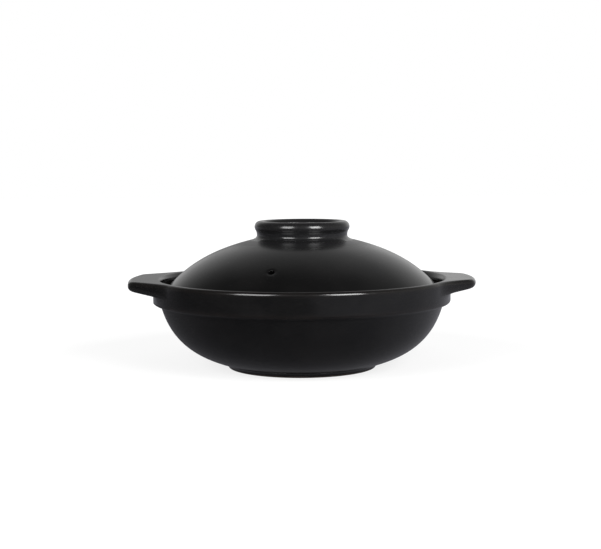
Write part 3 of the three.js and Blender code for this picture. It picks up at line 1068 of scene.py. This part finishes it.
def glaze(name, with_bare_clay):
    material = bpy.data.materials.new(name)
    material.use_nodes = True
    tree = material.node_tree
    shader = tree.nodes["Principled BSDF"]
    shader.inputs["IOR"].default_value = GLAZE_IOR
    skin, edges = placed(tree, "skin"), placed(tree, "edges")
    tree.links.new(skin.outputs["Color"], edges.inputs["Color"])
    tree.links.new(skin.outputs["Roughness"], edges.inputs["Roughness"])
    colour, rough, height = edges.outputs["Color"], edges.outputs["Roughness"], skin.outputs["Height"]
    if with_bare_clay:
        body = placed(tree, "clay").outputs
        colour = mixed(tree, body["Bare"], colour, body["Color"])
        rough = mixed(tree, body["Bare"], rough, body["Roughness"], "FLOAT")
        height = mixed(tree, body["Bare"], height, body["Height"], "FLOAT")
    bump = node(tree, "Bump", {"Strength": 1.0, "Distance": PEEL_DEPTH, "Height": height})
    tree.links.new(colour, shader.inputs["Base Color"])
    tree.links.new(rough, shader.inputs["Roughness"])
    tree.links.new(bump.outputs["Normal"], shader.inputs["Normal"])
    return material


black_glaze = glaze("black_glaze", with_bare_clay=False)
wiped_glaze = glaze("wiped_black_glaze", with_bare_clay=True)
for piece in (bowl_shell, ear_left, ear_right, ring_knob):
    piece.data.materials.append(black_glaze)
for piece in (foot_ring_clay, collar_band, dome_lid):
    piece.data.materials.append(wiped_glaze)
print("materials:", black_glaze.name, wiped_glaze.name)

# %% [markdown]
# ## What moves with what
# The lid lifts off, so its dome and knob ride on the body called lid, and everything else rides on the pot.
# Each new piece also says which CAD node it stands for, so that the plain solid isn't shown, and the table
# lists which finish of the record it takes, though nothing here uses that finish.

# %% Ride and replace; the finish is only listed
DRESSED = (
    (bowl_shell, "pot", "bowl", "black_glaze"),
    (collar_band, "pot", "rim_collar", "black_glaze"),
    (foot_ring_clay, "pot", "foot_ring", "bare_clay"),
    (ear_left, "pot", "left_ear", "black_glaze"),
    (ear_right, "pot", "right_ear", "black_glaze"),
    (dome_lid, "lid", "lid_dome", "black_glaze"),
    (ring_knob, "lid", "lid_knob", "black_glaze"),
)
for piece, body, cad_node, finish in DRESSED:
    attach(piece, body)
    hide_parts(cad_node)
print("pieces:", [row[0].name for row in DRESSED])

# %% [markdown]
# ## The table
# The pot stands on a plain white sweep. A camera should see white that only the pot's own soft shadow
# breaks, while the gloss of the black glaze should see a quieter, faintly cool grey, or the bowl would look
# washed out. For mirror rays the floor glows with that grey, a painted reflection with painted light and
# shade: lighter on the right, beside and behind the pot, and darker far ahead of it. Real cards laid round
# the pot could do the same; here the floor is one large plane, and Light Path tells its material which kind
# of ray is asking.

# %% Lay the floor
FLOOR_SIZE = 8.0

half = FLOOR_SIZE / 2
floor_corners = [(-half, -half, 0), (half, -half, 0), (half, half, 0), (-half, half, 0)]
floor_mesh = bpy.data.meshes.new("floor")
floor_mesh.from_pydata(floor_corners, [], [(0, 1, 2, 3)])
floor = bpy.data.objects.new("floor", floor_mesh)
bpy.context.scene.collection.objects.link(floor)
print("floor", FLOOR_SIZE, "m")

# %% The floor as the camera sees it
FLOOR_WHITE = 0.9
FLOOR_GLOW = 1.15
SHADOW_SHARE = 0.3
SWEEP_START = 0.2
SWEEP_END = 0.42
WHITE = (1, 1, 1, 1)


def grey_colour(level):
    return (level, level, level, 1)


def shader_mix(tree, share, one, other):
    """One shader fading into another."""
    made = node(tree, "MixShader")
    for socket, value in zip(made.inputs, (share, one, other)):
        tree.links.new(value, socket)
    return made.outputs[0]


white_sweep = bpy.data.materials.new("white_sweep")
white_sweep.use_nodes = True
tree = white_sweep.node_tree
tree.nodes.remove(tree.nodes["Principled BSDF"])
spot = place(tree)
distance = node(tree, "VectorMath", operation="LENGTH")
tree.links.new(spot, distance.inputs[0])
white_share = scaled(tree, distance.outputs["Value"], SWEEP_START, SWEEP_END, 1 - SHADOW_SHARE, 1)
lit = node(tree, "BsdfDiffuse", {"Color": grey_colour(FLOOR_WHITE)}).outputs[0]
glow = node(tree, "Emission", {"Color": WHITE, "Strength": FLOOR_GLOW}).outputs[0]
seen = shader_mix(tree, white_share, lit, glow)
print("all white beyond", SWEEP_END, "m")

# %% The floor as the glaze mirrors it
FLOOR_REACH = 0.6
FLOOR_GREYS = (
    (0, 0.058), (0.4, 0.072), (0.5, 0.092), (0.53, 0.112), (0.57, 0.168), (0.62, 0.22), (0.75, 0.28),
    (1, 0.3),
)
FLOOR_BESIDE = (
    (0, 0.058), (0.1, 0.07), (0.15, 0.12), (0.25, 0.135), (0.35, 0.11), (0.42, 0.098), (0.5, 0.1),
    (0.53, 0.12), (0.57, 0.185), (0.62, 0.245), (0.7, 0.34), (0.76, 0.36), (0.85, 0.34), (0.92, 0.3),
    (1, 0.29),
)
BESIDE_START = -0.2
BESIDE_END = -0.05
FLOOR_BACK = 0.4
BACK_START = 0.2
BACK_END = 0.7
AHEAD_START = -0.4
AHEAD_END = -0.7
AHEAD_SHARE = 0.65
FLOOR_TINT = (0.985, 0.985, 1.07, 1)


def is_mirrored(tree, path):
    """1 for a ray that comes from a mirror or through glass."""
    return sums(tree, "MAXIMUM", path.outputs["Is Glossy Ray"], path.outputs["Is Transmission Ray"])


across = node(tree, "SeparateXYZ", {"Vector": spot}).outputs
side = scaled(tree, across["X"], -FLOOR_REACH, FLOOR_REACH)
beside = scaled(tree, across["Y"], BESIDE_START, BESIDE_END)
behind = scaled(tree, across["Y"], BACK_START, BACK_END)
painted_shade_ahead = scaled(tree, across["Y"], AHEAD_END, AHEAD_START, AHEAD_SHARE, 1)
greys = mixed(tree, beside, ramp(tree, side, FLOOR_GREYS), ramp(tree, side, FLOOR_BESIDE))
greys = mixed(tree, behind, greys, grey_colour(FLOOR_BACK))
greys = mixed(tree, 1.0, greys, FLOOR_TINT, blend="MULTIPLY")
# Painted light and shade for mirror rays: the floor glows with these greys, lighter on the right and behind
# the pot, dimmer far ahead.
floor_mirror_glow = node(tree, "Emission", {"Color": greys, "Strength": painted_shade_ahead}).outputs[0]
path = node(tree, "LightPath")
other_rays = shader_mix(tree, is_mirrored(tree, path), lit, floor_mirror_glow)
surface = shader_mix(tree, path.outputs["Is Camera Ray"], other_rays, seen)
tree.links.new(surface, tree.nodes["Material Output"].inputs["Surface"])
floor_mesh.materials.append(white_sweep)
print("floor greys from", FLOOR_GREYS[0][1], "to", FLOOR_BACK)

# %% [markdown]
# ## Light
# A black glossy thing is lit by what it mirrors. Two softboxes in front, left and right, draw the bright
# lines on lip and rim and also give the plain level of light. A pale wall behind the pot lightens the ears'
# tops and the dome's shoulders at a grazing angle; close to the floor the middle of it is dimmer. Overhead
# and in front the room stays darker, which keeps the glaze black. A photograph of a room could light the
# scene as well, but a few grey levels round the pot and up the wall are easier to understand and to change.

# %% Hang the lamps
SOFTBOX_AIM = Vector((0, 0, 0.06))
SOFTBOX_DISTANCE = 1.1


def softbox(name, azimuth, elevation, wide, tall, power):
    """An area lamp facing the pot, seen from the pot at these angles from the front."""
    lamp = bpy.data.lights.new(name, "AREA")
    lamp.shape = "RECTANGLE"
    lamp.size, lamp.size_y = wide, tall
    lamp.energy = power
    placed_lamp = bpy.data.objects.new(name, lamp)
    turn, rise = math.radians(azimuth), math.radians(elevation)
    away = Vector((math.sin(turn) * math.cos(rise), -math.cos(turn) * math.cos(rise), math.sin(rise)))
    placed_lamp.location = SOFTBOX_AIM + SOFTBOX_DISTANCE * away
    placed_lamp.rotation_euler = away.to_track_quat("Z", "Y").to_euler()
    placed_lamp.visible_camera = False
    bpy.context.scene.collection.objects.link(placed_lamp)
    return placed_lamp


left_softbox = softbox("left_softbox", azimuth=-36, elevation=22.5, wide=0.5, tall=0.62, power=7.6)
right_softbox = softbox("right_softbox", azimuth=32.5, elevation=22.5, wide=0.44, tall=0.62, power=11.2)
print("lamps:", left_softbox.name, right_softbox.name)

# %% Grey levels of the room
AMBIENT = 0.35
CEILING = 0.05
WALL_UP = (
    (0, 0.66), (0.12, 0.7), (0.25, 0.64), (0.3, 0.6), (0.45, 0.49), (0.55, 0.41), (0.65, 0.29),
    (0.75, 0.235), (0.85, 0.17), (0.93, 0.085), (1, 0),
)
WALL_ROUND = (
    (-180, 0.88), (-165, 0.86), (-155, 0.84), (-142, 0.49), (-128, 0.18), (-112, 0.09), (-95, 0.035),
    (-60, 0.07), (-15, 0.28), (15, 0.3), (60, 0.37), (85, 0.5), (100, 0.52), (112, 0.45), (127, 0.6),
    (142, 0.91), (157, 1.06), (170, 0.98), (180, 0.88),
)
LOW_STRIP = (
    (0, 1), (0.24, 1), (0.3, 0.46), (0.345, 0.25), (0.4, 0.36), (0.46, 0.52), (0.5, 0.58), (0.56, 0.6),
    (0.61, 0.78), (0.68, 0.82), (0.76, 1), (1, 1),
)
STRIP_REACH = 0.4
STRIP_HEIGHT = 0.3
print("levels up the wall", len(WALL_UP), "round it", len(WALL_ROUND), "along its foot", len(LOW_STRIP))

# %% Paint the room
world = bpy.data.worlds.new("white_room")
bpy.context.scene.world = world
world.use_nodes = True
tree = world.node_tree
tree.nodes.clear()
path = node(tree, "LightPath")
way = node(tree, "SeparateXYZ", {"Vector": node(tree, "TexCoord").outputs["Generated"]}).outputs
towards = sums(tree, "MULTIPLY", way["Y"], -1.0)
azimuth = scaled(tree, sums(tree, "ARCTAN2", way["X"], towards), -math.pi, math.pi)
round_wall = ramp(tree, azimuth, [((degrees + 180) / 360, grey) for degrees, grey in WALL_ROUND])
up_wall = ramp(tree, way["Z"], WALL_UP)
low = scaled(tree, way["Z"], 0, STRIP_HEIGHT, 1, 0)
strip = ramp(tree, scaled(tree, way["X"], -STRIP_REACH, STRIP_REACH), LOW_STRIP)
dimmed = sums(tree, "MULTIPLY", sums(tree, "SUBTRACT", strip, 1.0), low)
wall = sums(tree, "MULTIPLY", up_wall, round_wall)
wall = sums(tree, "MULTIPLY", wall, sums(tree, "ADD", dimmed, 1.0))
room = sums(tree, "ADD", wall, CEILING)
shown = mixed(tree, is_mirrored(tree, path), grey_colour(AMBIENT), room)
shown = mixed(tree, path.outputs["Is Camera Ray"], shown, WHITE)
light = node(tree, "Background", {"Color": shown, "Strength": 1.0})
tree.links.new(light.outputs[0], node(tree, "OutputWorld").inputs["Surface"])
print("room:", world.name)

# %% [markdown]
# ## The camera
# The view is nearly level, a little above the rim, from about a metre away with a short telephoto lens. The
# numbers come from fitting a camera to the pot's outline: the focal length in pixels of an image 601 wide,
# the height and distance of the eye, how far it looks down, and a slight tilt. A camera could also be aimed
# by hand, but then outline and picture would never quite agree.

# %% Set up the camera
IMAGE_WIDTH = 601
FOCAL_PIXELS = 1254
SENSOR = 36.0
EYE = Vector((-0.0009, -0.92805, 0.154))
LOOK_DOWN = 0.092
TILT = math.radians(-0.35)

lens = bpy.data.cameras.new("camera")
lens.sensor_fit = "HORIZONTAL"
lens.sensor_width = SENSOR
lens.lens = FOCAL_PIXELS / IMAGE_WIDTH * SENSOR
camera = bpy.data.objects.new("camera", lens)
facing = Matrix.Rotation(math.pi / 2 - LOOK_DOWN, 4, "X") @ Matrix.Rotation(TILT, 4, "Z")
camera.matrix_world = Matrix.Translation(EYE) @ facing
bpy.context.scene.collection.objects.link(camera)
bpy.context.scene.camera = camera
bpy.context.scene.view_settings.view_transform = "Standard"
print("lens", round(lens.lens, 2), "mm")
